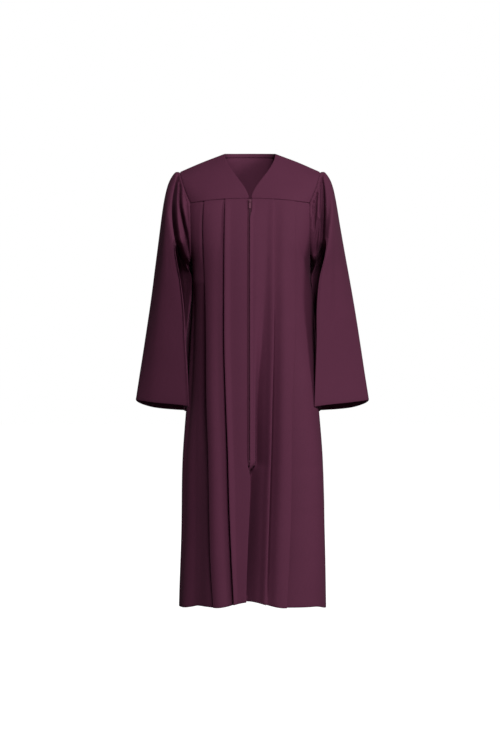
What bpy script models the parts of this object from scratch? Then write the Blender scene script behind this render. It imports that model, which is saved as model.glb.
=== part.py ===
"""Choir robe: yoke, pleated fronts and back, set-in bell sleeves and a centre-front zip.

The robe hangs as it is worn, hollow and open at neck, hem, cuffs and armholes. The origin lies between
the two neck points of the shoulder seams. +Z is up, the front faces -Y, and +X is the wearer's left.
Every cut piece of cloth is a thin wall of its own, a seam's gap away from the pieces it is sewn to.
"""

import math
from collections import namedtuple

import bmesh
import bpy
from mathutils import Matrix, Vector

# ---------------------------------------------------------------- driving sizes, in metres
CLOTH = 0.0010            # thickness of a cloth wall
SEAM_GAP = 0.0003         # space between two sewn pieces
FOLD_RADIUS = 0.0008      # middle of the cloth at a pressed pleat edge
CHEST_WIDTH = 0.150       # centre front to the armhole seam
ARMPIT = -0.274           # height of the lowest point of the armhole
YOKE_CENTRE = -0.119      # height of the yoke seam at centre front
YOKE_DROP = 0.010         # how much lower the yoke seam is at the armhole
YOKE_BACK = -0.129        # height of the back yoke seam
HEM_CENTRE = -1.126       # height of the hem at centre front
HEM_FALL = 0.015          # how much lower it is at the outer pleats
HEM_BACK = -1.150         # height of the hem at the sides and back
SWAY = 0.006              # how far the sides and sleeves hang over to the wearer's left
ZIP_END = -0.775          # height where the zip ends and the slit begins

Ring = namedtuple("Ring", "height half_width front back")
BODY = [
    Ring(-0.100, 0.172, 0.086, 0.088),
    Ring(-0.160, 0.171, 0.110, 0.104),
    Ring(-0.220, 0.163, 0.128, 0.112),
    Ring(-0.274, 0.151, 0.137, 0.114),
    Ring(-0.340, 0.150, 0.141, 0.113),
    Ring(-0.450, 0.156, 0.143, 0.112),
    Ring(-0.620, 0.1665, 0.147, 0.122),
    Ring(-0.780, 0.178, 0.150, 0.132),
    Ring(-0.960, 0.181, 0.154, 0.141),
    Ring(-1.160, 0.187, 0.158, 0.150),
]
SQUARENESS = 2.4          # 2 is an ellipse, more is boxier

# the pleats of a half panel: where their two edges lie, how much cloth they take up under the edge, how
# far its layers stand apart, and how deep the cloth sinks between the zip and the inner pleat
Pleat = namedtuple("Pleat", "height outer_fold inner_fold depth spread valley")
PLEATS = [
    Pleat(-0.119, 0.1135, 0.0610, 0.016, 0.0000, 0.000),
    Pleat(-0.260, 0.1130, 0.0612, 0.017, 0.0010, 0.001),
    Pleat(-0.450, 0.1090, 0.0610, 0.018, 0.0020, 0.003),
    Pleat(-0.650, 0.1045, 0.0560, 0.020, 0.0040, 0.006),
    Pleat(-0.850, 0.0995, 0.0505, 0.023, 0.0070, 0.006),
    Pleat(-1.000, 0.0955, 0.0455, 0.025, 0.0090, 0.004),
    Pleat(-1.160, 0.0885, 0.0395, 0.026, 0.0100, 0.002),
]
VALLEY_PLACE = 0.35       # how far from the zip to the inner pleat the cloth sinks most

# the front panels' turned edges: apart along the zip, then the right one crosses over the left one
Edge = namedtuple("Edge", "height right left tuck")
EDGES = [
    Edge(-0.700, 0.0055, 0.0055, 0.000),
    Edge(-0.790, 0.0050, 0.0050, 0.000),
    Edge(-0.880, 0.0020, 0.0020, 0.004),
    Edge(-1.000, 0.0055, -0.0060, 0.008),
    Edge(-1.140, 0.0100, -0.0140, 0.012),
]

# the neckline, from the neck point of the shoulder seam down to the top of the zip
NeckPoint = namedtuple("NeckPoint", "x y z")
NECKLINE = [
    NeckPoint(0.066, 0.004, 0.000),
    NeckPoint(0.061, -0.018, -0.019),
    NeckPoint(0.048, -0.042, -0.043),
    NeckPoint(0.029, -0.063, -0.070),
    NeckPoint(0.014, -0.077, -0.092),
    NeckPoint(0.0048, -0.087, -0.112),
]
BACK_NECK = NeckPoint(0.0, 0.062, 0.006)

# the armhole above the yoke corner, from the shoulder tip down
ArmPoint = namedtuple("ArmPoint", "x front back z")
ARMHOLE_TOP = [
    ArmPoint(0.1785, 0.006, 0.006, -0.0455),
    ArmPoint(0.1750, -0.016, 0.027, -0.0600),
    ArmPoint(0.168, -0.034, 0.044, -0.084),
    ArmPoint(0.160, -0.047, 0.053, -0.107),
]

# a sleeve's rings: the pressed outer line, the front fold beside the body, the inner and the back line
SleeveRing = namedtuple(
    "SleeveRing", "outer_x outer_y outer_z fold_x fold_y inner_x inner_z back_x back_y"
)
SLEEVE = [
    SleeveRing(0.207, 0.003, -0.072, 0.174, -0.086, 0.1550, -0.290, 0.174, 0.088),
    SleeveRing(0.218, 0.002, -0.114, 0.184, -0.095, 0.1560, -0.303, 0.176, 0.096),
    SleeveRing(0.230, 0.002, -0.190, 0.184, -0.098, 0.1565, -0.326, 0.170, 0.100),
    SleeveRing(0.243, 0.003, -0.275, 0.178, -0.097, 0.1575, -0.365, 0.164, 0.103),
    SleeveRing(0.257, 0.005, -0.365, 0.171, -0.095, 0.1610, -0.425, 0.162, 0.106),
    SleeveRing(0.271, 0.007, -0.455, 0.167, -0.093, 0.1650, -0.495, 0.153, 0.109),
    SleeveRing(0.285, 0.009, -0.545, 0.162, -0.091, 0.1695, -0.575, 0.156, 0.112),
    SleeveRing(0.2975, 0.010, -0.626, 0.1585, -0.090, 0.1745, -0.655, 0.161, 0.115),
]
BACK_CUFF_DROP = 0.016    # how much longer the back of a sleeve is than its front

# the largest folds of a sleeve, running down from its gathered head: share is the place round the ring,
# from 0 on the outer line to 1 under the arm, in front or behind, and depth sinks (or raises) the cloth
Fold = namedtuple("Fold", "side front share top bottom depth")
FOLDS = [
    Fold("left", True, 0.786, -0.09, -0.36, 0.007),
    Fold("left", True, 0.286, -0.06, -0.40, 0.003),
    Fold("left", False, 0.70, -0.09, -0.36, 0.006),
    Fold("right", True, 0.80, -0.09, -0.34, 0.008),
    Fold("right", True, 0.64, -0.08, -0.30, 0.004),
    Fold("right", True, 0.36, -0.06, -0.42, 0.003),
    Fold("right", False, 0.64, -0.08, -0.40, 0.006),
]
FOLD_SPREAD = 0.05        # half width of a fold, as a share of the ring's half
HEAD_STAND = 0.012        # how far the gathered sleeve head stands out beyond its seam

# the zip: tape, coil, slider and tab
TAPE_TOP = -0.1215        # height of the tapes' upper ends
TAPE_WIDTH = 0.013
TAPE_THICK = 0.0008
COIL_TOP = -0.136         # height where the coil leaves the slider
COIL_WIDTH = 0.0044
COIL_THICK = 0.0020
SLIDER_LENGTH = 0.0125
SLIDER_WIDTH = 0.0078
WEDGE = 0.0026            # width of the slider's post, which parts the two tapes
PLATE = 0.0011            # thickness of the slider's front plate
TAB_LENGTH = 0.021
TAB_WIDTH = 0.0058
TAB_THICK = 0.0010
PIN = 0.0014
ARCH_REACH = 0.0026       # clear height under the slider's arch
ARCH_SPAN = 0.0052        # clear length under the arch
ARCH_BAR = 0.0010
ARCH_WIDTH = 0.0020

PLUM = (0.110, 0.030, 0.058, 1.0)
PLUM_ZIP = (0.100, 0.026, 0.050, 1.0)
PLUM_METAL = (0.190, 0.060, 0.095, 1.0)


# ---------------------------------------------------------------- scene and materials
def clear_scene():
    for thing in list(bpy.data.objects):
        bpy.data.objects.remove(thing, do_unlink=True)


def finish(name, colour, roughness, metallic):
    material = bpy.data.materials.new(name)
    material.use_nodes = True
    shader = material.node_tree.nodes["Principled BSDF"]
    shader.inputs["Base Color"].default_value = colour
    shader.inputs["Roughness"].default_value = roughness
    shader.inputs["Metallic"].default_value = metallic
    return material


def add_object(name, mesh, material):
    thing = bpy.data.objects.new(name, mesh)
    bpy.context.scene.collection.objects.link(thing)
    mesh.materials.append(material)
    mesh.shade_smooth()
    mesh.set_sharp_from_angle(angle=math.radians(50))
    return thing


# ---------------------------------------------------------------- smooth reading of a table
def hermite(before, start, end, after, part, soft_in=1.0, soft_out=1.0):
    """A smooth value between start and end, with slopes from their neighbours; 0 makes a corner."""
    slope_in = (end - before) / 2 * soft_in
    slope_out = (after - start) / 2 * soft_out
    square = part * part
    cube = square * part
    return (
        (2 * cube - 3 * square + 1) * start
        + (cube - 2 * square + part) * slope_in
        + (3 * square - 2 * cube) * end
        + (cube - square) * slope_out
    )


def read(table, column, height):
    """A column's value at a height, smooth between the table's rows, which run downwards."""
    rows = [(row.height, getattr(row, column)) for row in table]
    if height >= rows[0][0]:
        return rows[0][1]
    for index in range(len(rows) - 1):
        top, bottom = rows[index], rows[index + 1]
        if height >= bottom[0]:
            part = (top[0] - height) / (top[0] - bottom[0])
            before = rows[max(index - 1, 0)][1]
            after = rows[min(index + 2, len(rows) - 1)][1]
            return hermite(before, top[1], bottom[1], after, part)
    return rows[-1][1]


def along(points, part):
    """A point at a share of the way along a smooth curve through a few points."""
    place = min(max(part, 0.0), 1.0) * (len(points) - 1)
    index = min(int(place), len(points) - 2)
    before = points[max(index - 1, 0)]
    after = points[min(index + 2, len(points) - 1)]
    return Vector(
        hermite(before[axis], points[index][axis], points[index + 1][axis], after[axis], place - index)
        for axis in range(3)
    )


def ease(part):
    part = min(max(part, 0.0), 1.0)
    return part * part * (3 - 2 * part)


# ---------------------------------------------------------------- the body's rings
def ring_point(height, angle, back):
    """A point on the body's ring: angle 0 at the centre, a quarter turn at the side."""
    power = 2 / SQUARENESS
    depth = read(BODY, "back" if back else "front", height)
    x = read(BODY, "half_width", height) * math.sin(angle) ** power
    y = depth * max(math.cos(angle), 0.0) ** power
    return Vector((x, y if back else -y))


def ring_angle(height, x):
    share = min(x / read(BODY, "half_width", height), 1.0)
    return math.asin(share ** (SQUARENESS / 2))


def lifted(height, angle, offset, back):
    """A point on the ring, moved out from the body by an offset."""
    here = ring_point(height, angle, back)
    step = 0.01
    ahead = ring_point(height, min(angle + step, math.pi / 2), back)
    behind = ring_point(height, max(angle - step, 0.0), back)
    run = ahead - behind
    out = Vector((-run.y, run.x)) if back else Vector((run.y, -run.x))
    return here + out.normalized() * offset


def yoke_seam(x, back):
    if back:
        return YOKE_BACK
    return YOKE_CENTRE - YOKE_DROP * (abs(x) / CHEST_WIDTH) ** 2


def hem_line(x, back):
    if back:
        return HEM_BACK
    low = HEM_CENTRE - HEM_FALL * ease(abs(x) / 0.085)
    return low + (HEM_BACK - HEM_CENTRE + HEM_FALL) * ease((abs(x) - CHEST_WIDTH) / 0.036)


# ---------------------------------------------------------------- pleated panels
def half_turn(x, offset, opens_outward, points=4):
    """The rounded edge of a pressed fold, from its upper layer to its lower one."""
    turn = []
    for index in range(points):
        angle = math.pi * (0.5 - index / (points - 1))
        reach = FOLD_RADIUS * math.cos(angle)
        turn.append((x + reach if opens_outward else x - reach, offset + FOLD_RADIUS * math.sin(angle)))
    return turn


def knife_pleat(fold, depth, spread):
    """One knife pleat whose edge faces away from the centre, as (x, offset) along the cloth."""
    return (
        [(fold - depth - 0.004, spread * 0.3)]
        + half_turn(fold - FOLD_RADIUS, FOLD_RADIUS + spread * 0.3, True)
        + half_turn(fold - depth + FOLD_RADIUS, -FOLD_RADIUS - spread * 0.7, False)
        + [(fold + 0.003, -2 * FOLD_RADIUS - spread * 0.3)]
    )


def panel_half(height_at, edge_x, tuck, back):
    """The cloth's middle from the centre to the armhole or side seam, at one level of the panel."""
    middle = height_at(PLEATS[0].outer_fold)
    outer = read(PLEATS, "outer_fold", middle)
    inner = read(PLEATS, "inner_fold", middle)
    depth = read(PLEATS, "depth", middle)
    spread = read(PLEATS, "spread", middle)
    valley = read(PLEATS, "valley", middle)
    path = [(edge_x, -tuck), (edge_x + VALLEY_PLACE * (inner - edge_x), -valley - tuck * 0.3)]
    path += knife_pleat(inner, depth, spread)
    path += [(inner + 0.45 * (outer - inner), 0.0)]
    path += knife_pleat(outer, depth, spread)
    points = []
    for x, offset in path:
        height = height_at(x)
        plan = lifted(height, ring_angle(height, abs(x)), offset, back)
        points.append(Vector((plan.x if x >= 0 else -plan.x, plan.y, height)))
    edge_height = height_at(CHEST_WIDTH)
    start = ring_angle(edge_height, outer + 0.003)
    end = ring_angle(edge_height, CHEST_WIDTH) if edge_height > ARMPIT + 1e-6 else math.pi / 2
    hump = valley + spread * 0.4
    for share in (0.2, 0.4, 0.6, 0.8, 1.0):
        angle = start + (end - start) * share
        height = height_at(ring_point(edge_height, angle, back).x)
        offset = -2 * FOLD_RADIUS * (1 - share) + hump * math.sin(math.pi * share) * (1 - share)
        plan = lifted(height, angle, offset, back)
        points.append(Vector((plan.x, plan.y, height)))
    return points


# heights of the rows down a panel, before the seam's and the hem's own slope are added
ROWS = (YOKE_CENTRE, COIL_TOP, -0.170, -0.205, -0.240, ARMPIT, -0.330, -0.430, -0.560, -0.680,
        ZIP_END - 0.013, -0.880, -1.000, HEM_CENTRE)


def panel_rows(side):
    """Rows of points down a half panel, the top row on the yoke seam and the last on the hem."""
    back = side == "back"
    rows = []
    for level in ROWS:
        top_pull = ease((level - ARMPIT) / (YOKE_CENTRE - ARMPIT))
        hem_pull = ease((-0.56 - level) / (-0.56 - HEM_CENTRE))

        def height_at(x):
            seam = (yoke_seam(x, back) - YOKE_CENTRE) * top_pull
            return level + seam + (hem_line(x, back) - HEM_CENTRE) * hem_pull

        edge_x = 0.0 if back else read(EDGES, side, level)
        tuck = read(EDGES, "tuck", level) if side == "left" else 0.0
        row = panel_half(height_at, edge_x, tuck, back)
        row[-1].x -= SEAM_GAP / 2 if level > ARMPIT else 0.0
        row[-1].y += SEAM_GAP if back else -SEAM_GAP
        rows.append(row)
    for point in rows[0]:
        point.z -= SEAM_GAP / 2
    return rows


# ---------------------------------------------------------------- cloth walls
def mirrored(point):
    return Vector((-point.x, point.y, point.z))


def swayed(point, mirror):
    """The sideways hang: none at the yoke and the zip, full at the sides from the cuffs down."""
    side = -1 if mirror else 1
    share = min(abs(point.x) / read(BODY, "half_width", point.z), 1.0)
    sway = SWAY * ease((-0.10 - point.z) / 0.35) * share**4
    return Vector((side * point.x + sway, point.y, point.z))


def cloth_wall(name, rows, closed=False, inward=False, thickness=CLOTH, material=None):
    """A sheet through rows of points, given its thickness equally to both sides."""
    mesh = bpy.data.meshes.new(name)
    sheet = bmesh.new()
    loops = [[sheet.verts.new(point) for point in row] for row in rows]
    count = len(rows[0])
    for upper, lower in zip(loops, loops[1:]):
        for index in range(count if closed else count - 1):
            following = (index + 1) % count
            corners = (upper[index], lower[index], lower[following], upper[following])
            sheet.faces.new(reversed(corners) if inward else corners)
    sheet.to_mesh(mesh)
    sheet.free()
    thing = add_object(name, mesh, material)
    wall = thing.modifiers.new("cloth", "SOLIDIFY")
    wall.thickness = thickness
    wall.offset = 0.0
    wall.use_even_offset = not closed
    wall.use_quality_normals = True
    return thing


def make_panels(cloth):
    for side, mirror in (("left", False), ("right", True)):
        rows = [[swayed(point, mirror) for point in row] for row in panel_rows(side)]
        cloth_wall(f"panel_front_{side}", rows, inward=mirror, material=cloth)
    rows = []
    for row in panel_rows("back"):
        right = [swayed(point, True) for point in reversed(row)]
        left = [swayed(point, False) for point in row]
        rows.append(right + left[1:])
    cloth_wall("panel_back", rows, inward=True, material=cloth)


# ---------------------------------------------------------------- yokes
def armhole_top(back):
    """The armhole above the yoke corner, from the shoulder tip down."""
    points = [Vector((row.x, row.back if back else row.front, row.z)) for row in ARMHOLE_TOP]
    height = yoke_seam(CHEST_WIDTH, back)
    corner = ring_point(height, ring_angle(height, CHEST_WIDTH), back)
    return points + [Vector((CHEST_WIDTH, corner.y, height))]


def seam_point(x, back):
    height = yoke_seam(x, back)
    plan = ring_point(height, ring_angle(height, x), back)
    return Vector((x, plan.y, height))


def patch(top, bottom, start, end, rows, columns):
    """A smooth sheet between four edges: top and bottom run outward, start and end run down."""
    grid = []
    for r in range(rows + 1):
        v = r / rows
        low = ease(v)
        line = []
        for c in range(columns + 1):
            u = c / columns
            across = top(u) * (1 - low) + bottom(u) * low
            sides = start(v) * (1 - u) + end(v) * u
            upper_corners = top(0) * (1 - u) + top(1) * u
            lower_corners = bottom(0) * (1 - u) + bottom(1) * u
            line.append(across + sides - upper_corners * (1 - low) - lower_corners * low)
        grid.append(line)
    return grid


def settled(grid, rounds):
    """A sheet whose inner points have settled to the middle of their neighbours, as taut cloth does."""
    for _ in range(rounds):
        before = [[point.copy() for point in line] for line in grid]
        for r in range(1, len(grid) - 1):
            for c in range(1, len(grid[0]) - 1):
                sides = before[r][c - 1] + before[r][c + 1]
                grid[r][c] = (sides + before[r - 1][c] + before[r + 1][c]) / 4
    return grid


def trimmed(grid, back):
    """A yoke's sheet drawn back a little from the pieces sewn to it below and over the shoulder."""
    ridge = (SEAM_GAP + CLOTH) / 2          # the walls lean together over the shoulder seam
    for point in grid[0]:
        point.y += ridge if back else -ridge
    for point in grid[-1]:
        point.z += 2 * SEAM_GAP
    return grid


def make_yokes(cloth):
    neck = [Vector(row) for row in NECKLINE]
    centre_x = neck[-1].x
    tip = Vector((ARMHOLE_TOP[0].x, ARMHOLE_TOP[0].front, ARMHOLE_TOP[0].z))
    shoulder = [neck[0], neck[0].lerp(tip, 0.5) + Vector((0, 0, 0.0015)), tip]
    front_arm = armhole_top(back=False)
    back_arm = armhole_top(back=True)
    front_neck = neck + [seam_point(centre_x, False)]
    front = patch(
        top=lambda u: along(shoulder, u),
        bottom=lambda u: seam_point(centre_x + (CHEST_WIDTH - centre_x) * u, False),
        start=lambda v: along(front_neck, v),
        end=lambda v: along(front_arm, v),
        rows=8,
        columns=8,
    )
    trimmed(front, back=False)
    for side, mirror in (("left", False), ("right", True)):
        sided = [[swayed(point, mirror) for point in row] for row in front]
        cloth_wall(f"yoke_front_{side}", sided, inward=mirror, material=cloth)

    def back_top(u):
        """Over the right shoulder, round the back of the neck, and over the left shoulder."""
        if u < 0.3:
            return mirrored(along(shoulder, 1 - u / 0.3))
        if u > 0.7:
            return along(shoulder, (u - 0.7) / 0.3)
        turn = math.pi * (u - 0.3) / 0.4
        bow = math.sin(turn) ** 0.8
        return Vector((-neck[0].x * math.cos(turn), neck[0].y + (BACK_NECK.y - neck[0].y) * bow,
                       BACK_NECK.z * bow))

    def back_bottom(u):
        x = (2 * u - 1) * CHEST_WIDTH
        point = seam_point(abs(x), True)
        return Vector((x, point.y, point.z))

    back = patch(
        top=back_top,
        bottom=back_bottom,
        start=lambda v: mirrored(along(back_arm, v)),
        end=lambda v: along(back_arm, v),
        rows=8,
        columns=20,
    )
    trimmed(settled(back, 24), back=True)
    cloth_wall("yoke_back", [[swayed(point, False) for point in row] for row in back], inward=True,
               material=cloth)


# ---------------------------------------------------------------- sleeves
FRONT_STEPS = 5           # spans between two named lines of a sleeve ring: outer, middle, fold
SIDE_STEPS = 4            # fold, inner, back
HALF_STEPS = 2 * FRONT_STEPS + SIDE_STEPS


def armhole_side(back):
    """The armhole from the shoulder tip to the armpit, as many points."""
    top = armhole_top(back)
    upper = [along(top, index / 12) for index in range(13)]
    lower = []
    start = yoke_seam(CHEST_WIDTH, back)
    for index in range(1, 17):
        height = start + (ARMPIT - start) * index / 16
        plan = ring_point(height, ring_angle(height, CHEST_WIDTH), back)
        lower.append(Vector((CHEST_WIDTH, plan.y, height)))
    lower[-1] = Vector((read(BODY, "half_width", ARMPIT), 0.0, ARMPIT))
    return upper + lower


def spaced(points, shares):
    """Points at given shares of a line's length."""
    lengths = [0.0]
    for before, after in zip(points, points[1:]):
        lengths.append(lengths[-1] + (after - before).length)
    found = []
    for share in shares:
        want = share * lengths[-1]
        index = next(k for k in range(len(points) - 1) if want <= lengths[k + 1] + 1e-9)
        span = lengths[index + 1] - lengths[index]
        found.append(points[index].lerp(points[index + 1], (want - lengths[index]) / span))
    return found


def armhole_loop():
    """The sleeve's sewn edge: down the front from the shoulder tip, and up the back."""
    shares = [index / HALF_STEPS for index in range(HALF_STEPS + 1)]
    front = spaced(armhole_side(back=False), shares)
    back = spaced(armhole_side(back=True), shares)
    loop = front + back[-2:0:-1]
    for index, point in enumerate(loop):
        share = min(index, len(loop) - index) / HALF_STEPS
        turned = 0.3 + 0.5 * ease((share - 0.2) / 0.15) + ease((share - 0.7) / 0.3)
        point.x += SEAM_GAP + CLOTH * turned
    return loop


def head_ring(first):
    """The ring just outside the seam, where the gathers round the sleeve out."""
    ring = []
    for index, point in enumerate(first):
        share = min(index, len(first) - index) / HALF_STEPS
        low = ease((share - 0.55) / 0.45)
        out = HEAD_STAND * (1 - 0.6 * low)
        ring.append(Vector((point.x + out, point.y * (1.05 + 0.10 * low), point.z - 0.001 - 0.007 * low)))
    return ring


def ring_loop(ring, index, first):
    """One ring of a sleeve, at the same stations as its sewn edge."""
    outer = Vector((ring.outer_x, ring.outer_y, 0))
    fold = Vector((ring.fold_x, ring.fold_y, 0))
    inner = Vector((ring.inner_x, 0, 0))
    back = Vector((ring.back_x, ring.back_y, 0))

    def between(a, b, bulge):
        run = b - a
        return (a + b) / 2 + Vector((-run.y, run.x, 0)) * bulge

    crisp = ease(index / 4)
    full = 0.17 - 0.10 * crisp
    nodes = [outer, between(outer, fold, full), fold, inner, back, between(back, outer, full)]
    steps = [FRONT_STEPS, FRONT_STEPS, SIDE_STEPS, SIDE_STEPS, FRONT_STEPS, FRONT_STEPS]
    soft = [1 - 0.5 * crisp, 1.0, 1 - 0.75 * crisp, 1.0, 1 - 0.5 * crisp, 1.0]
    loop = []
    for k, count in enumerate(steps):
        before, start = nodes[k - 1], nodes[k]
        end, after = nodes[(k + 1) % 6], nodes[(k + 2) % 6]
        tension = (soft[k], soft[(k + 1) % 6])
        for step in range(count):
            part = step / count
            point = [hermite(before[a], start[a], end[a], after[a], part, *tension) for a in range(3)]
            loop.append(Vector(point))
    settled = ease(index / 5)
    low = ease((index - 3) / 5)
    for k, point in enumerate(loop):
        share = min(k, len(loop) - k) / HALF_STEPS
        follow = (first[k].z - first[0].z) / (first[HALF_STEPS].z - first[0].z)
        drop = follow * (1 - settled) + share ** 1.7 * settled
        point.z = ring.outer_z + (ring.inner_z - ring.outer_z) * drop
        if k > HALF_STEPS:
            point.z -= BACK_CUFF_DROP * low * math.sin(math.pi * share)
    return loop


def folded(ring, side):
    """A ring with the sleeve's large folds sunk into it, towards its middle."""
    centre = sum(ring, Vector()) / len(ring)
    found = []
    for index, point in enumerate(ring):
        share = min(index, len(ring) - index) / HALF_STEPS
        sink = 0.0
        for fold in FOLDS:
            if fold.side != side or fold.front != (index <= HALF_STEPS):
                continue
            down = (fold.top - point.z) / (fold.top - fold.bottom)
            length = math.sin(math.pi * down) if 0 < down < 1 else 0.0
            sink += fold.depth * length * math.exp(-(((share - fold.share) / FOLD_SPREAD) ** 2))
        inward = Vector((centre.x - point.x, centre.y - point.y, 0)).normalized()
        found.append(point + inward * sink)
    return found


def make_sleeves(cloth):
    first = armhole_loop()
    rings = [ring_loop(ring, index + 2, first) for index, ring in enumerate(SLEEVE)]
    for side, mirror in (("left", False), ("right", True)):
        rows = [first, head_ring(first)] + [folded(ring, side) for ring in rings]
        sided = [[swayed(point, mirror) for point in row] for row in rows]
        cloth_wall(f"sleeve_{side}", sided, closed=True, inward=not mirror, material=cloth)


# ---------------------------------------------------------------- zip
def zip_point(height, x, depth):
    """A point of the zip, set back from the front panels and following them under their edges."""
    edge = EDGES[0].left
    inner = read(PLEATS, "inner_fold", height)
    sink = read(PLEATS, "valley", height) * max(abs(x) - edge, 0.0) / (VALLEY_PLACE * (inner - edge))
    plan = lifted(height, ring_angle(height, abs(x)), -depth - sink, back=False)
    return Vector((math.copysign(plan.x, x), plan.y, height))


def zip_strip(name, places, depth, thickness, heights, material, top_places=None):
    rows = [[zip_point(height, x, depth) for x in places] for height in heights]
    if top_places:
        rows[0] = [zip_point(heights[0], x, depth) for x in top_places]
    return cloth_wall(name, rows, thickness=thickness, material=material)


TAPE_DEPTH = CLOTH / 2 + 3 * SEAM_GAP + TAPE_THICK / 2
COIL_DEPTH = TAPE_DEPTH - TAPE_THICK / 2 - SEAM_GAP - COIL_THICK / 2


def make_zip(tape, metal):
    rows = [height for height in ROWS if ZIP_END < height < YOKE_CENTRE]
    edge = EDGES[0].left
    heights = [TAPE_TOP] + rows + [ZIP_END - 0.0125]
    for side, sign in (("left", 1), ("right", -1)):
        places = sorted(sign * x for x in (SEAM_GAP / 2, edge, TAPE_WIDTH))
        parted = sorted(sign * x for x in (WEDGE, edge, TAPE_WIDTH))
        zip_strip(f"zip_tape_{side}", places, TAPE_DEPTH, TAPE_THICK, heights, tape, top_places=parted)

    half = COIL_WIDTH / 2
    heights = rows + [ZIP_END]
    zip_strip("zip_coil", (-half, 0.0, half), COIL_DEPTH, COIL_THICK, heights, tape)

    top = ZIP_END - SEAM_GAP
    half = COIL_WIDTH / 2 + 0.0006
    zip_strip("zip_bottom_stop", (-half, 0.0, half), COIL_DEPTH, COIL_THICK, (top, top - 0.005), metal)


def box(middle, size, bevel=0.0):
    """A block as a bmesh, with its edges eased."""
    shape = bmesh.new()
    bmesh.ops.create_cube(shape, size=1.0)
    bmesh.ops.scale(shape, vec=size, verts=shape.verts)
    bmesh.ops.translate(shape, vec=middle, verts=shape.verts)
    if bevel:
        bmesh.ops.bevel(shape, geom=shape.edges[:], offset=bevel, segments=1, profile=0.5, affect="EDGES",
                        material=-1)
    return shape


def outline_plate(outline, thickness, front):
    """A flat plate from its outline in the zip's plane; front is how far its face stands out."""
    shape = bmesh.new()
    corners = [shape.verts.new((x, -front, z)) for x, z in outline]
    face = shape.faces.new(corners)
    raised = bmesh.ops.extrude_face_region(shape, geom=[face])
    moved = [part for part in raised["geom"] if isinstance(part, bmesh.types.BMVert)]
    bmesh.ops.translate(shape, vec=(0, thickness, 0), verts=moved)
    bmesh.ops.recalc_face_normals(shape, faces=shape.faces)
    return shape


def joined(name, shapes, material):
    """Overlapping shapes made one solid by union, the first one carrying the modifiers."""
    pieces = []
    for index, shape in enumerate(shapes):
        mesh = bpy.data.meshes.new(name if index == 0 else f"{name}_{index}")
        shape.to_mesh(mesh)
        shape.free()
        pieces.append(add_object(mesh.name, mesh, material))
    for other in pieces[1:]:
        union = pieces[0].modifiers.new("join", "BOOLEAN")
        union.operation = "UNION"
        union.object = other
        other.hide_render = True
        other.display_type = "WIRE"
        other.parent = pieces[0]
    return pieces[0]


def slider_outline():
    """Wide rounded shoulders above, narrow mouth below, symmetric about the coil."""
    wide = SLIDER_WIDTH / 2
    narrow = wide * 0.68
    half = SLIDER_LENGTH / 2
    right = [(wide * 0.55, half), (wide, half * 0.72), (wide, half * 0.25), (narrow, -half * 0.35),
             (narrow, -half)]
    return right + [(-x, z) for x, z in reversed(right)]


def make_slider(metal):
    """Slider and tab in the plane of the zip, leaned to the slope of the chest."""
    middle = COIL_TOP + SEAM_GAP + SLIDER_LENGTH / 2
    coil_middle = zip_point(middle, 0.0, COIL_DEPTH)
    upper = zip_point(middle + 0.01, 0.0, COIL_DEPTH)
    lean = math.atan2(upper.y - coil_middle.y, upper.z - coil_middle.z)
    place = Matrix.Translation(coil_middle) @ Matrix.Rotation(-lean, 4, "X")

    face = COIL_THICK / 2 + SEAM_GAP + PLATE
    behind = COIL_THICK / 2 + 3 * SEAM_GAP + TAPE_THICK
    back_plate = PLATE * 0.7
    front = outline_plate(slider_outline(), PLATE, face)
    back = outline_plate(slider_outline(), back_plate, -behind)
    post_front = face - PLATE / 2
    post_back = behind + back_plate / 2
    post = box((0, (post_back - post_front) / 2, SLIDER_LENGTH / 2 - WEDGE * 0.62),
               (WEDGE, post_front + post_back, WEDGE))
    reach = face + ARCH_REACH + ARCH_BAR
    rise = reach - post_front
    span = (ARCH_SPAN + ARCH_BAR) / 2
    legs = [box((0, rise / 2 - reach, z), (ARCH_WIDTH, rise, ARCH_BAR)) for z in (span, -span)]
    bar = box((0, ARCH_BAR / 2 - reach, 0), (ARCH_WIDTH * 0.98, ARCH_BAR, ARCH_SPAN + 1.8 * ARCH_BAR))
    slider = joined("zip_slider", [front, back, post, *legs, bar], metal)
    slider.matrix_world = place
    return place, face


def make_tab(metal, place, face):
    """The free tab: a pin bar under the slider's arch, a window round the arch, and a flat grip."""
    axis = place @ Vector((0, -(face + ARCH_REACH / 2), 0))
    window = ARCH_SPAN / 2 + ARCH_BAR + 0.0012
    half = TAB_WIDTH / 2
    plate = box((0, 0, -(TAB_LENGTH / 2 - PIN / 2)), (TAB_WIDTH, TAB_THICK, TAB_LENGTH), 0.0002)
    tab = joined("zip_pull_tab", [plate], metal)
    middle = -(PIN / 2 + window) / 2 - 0.0001
    hole = box((0, 0, middle), (ARCH_WIDTH + 0.0012, 4 * TAB_THICK, window - PIN / 2))
    mesh = bpy.data.meshes.new("tab_window")
    hole.to_mesh(mesh)
    hole.free()
    cutter = add_object("tab_window", mesh, metal)
    cutter.hide_render = True
    cutter.display_type = "WIRE"
    cutter.parent = tab
    cut = tab.modifiers.new("window", "BOOLEAN")
    cut.operation = "DIFFERENCE"
    cut.object = cutter
    tab.matrix_world = Matrix.Translation(axis) @ place.to_3x3().to_4x4()


def main():
    clear_scene()
    cloth = finish("plum_cloth", PLUM, 0.75, 0.0)
    tape = finish("plum_zip_tape", PLUM_ZIP, 0.7, 0.0)
    metal = finish("plum_lacquered_metal", PLUM_METAL, 0.35, 0.6)
    make_yokes(cloth)
    make_panels(cloth)
    make_sleeves(cloth)
    make_zip(tape, metal)
    place, face = make_slider(metal)
    make_tab(metal, place, face)


main()
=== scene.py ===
"""Choir robe: the finished cloth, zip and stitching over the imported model's frame."""
import math
from collections import namedtuple

import bmesh
import bpy
from mathutils import Matrix, Vector, noise


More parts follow.
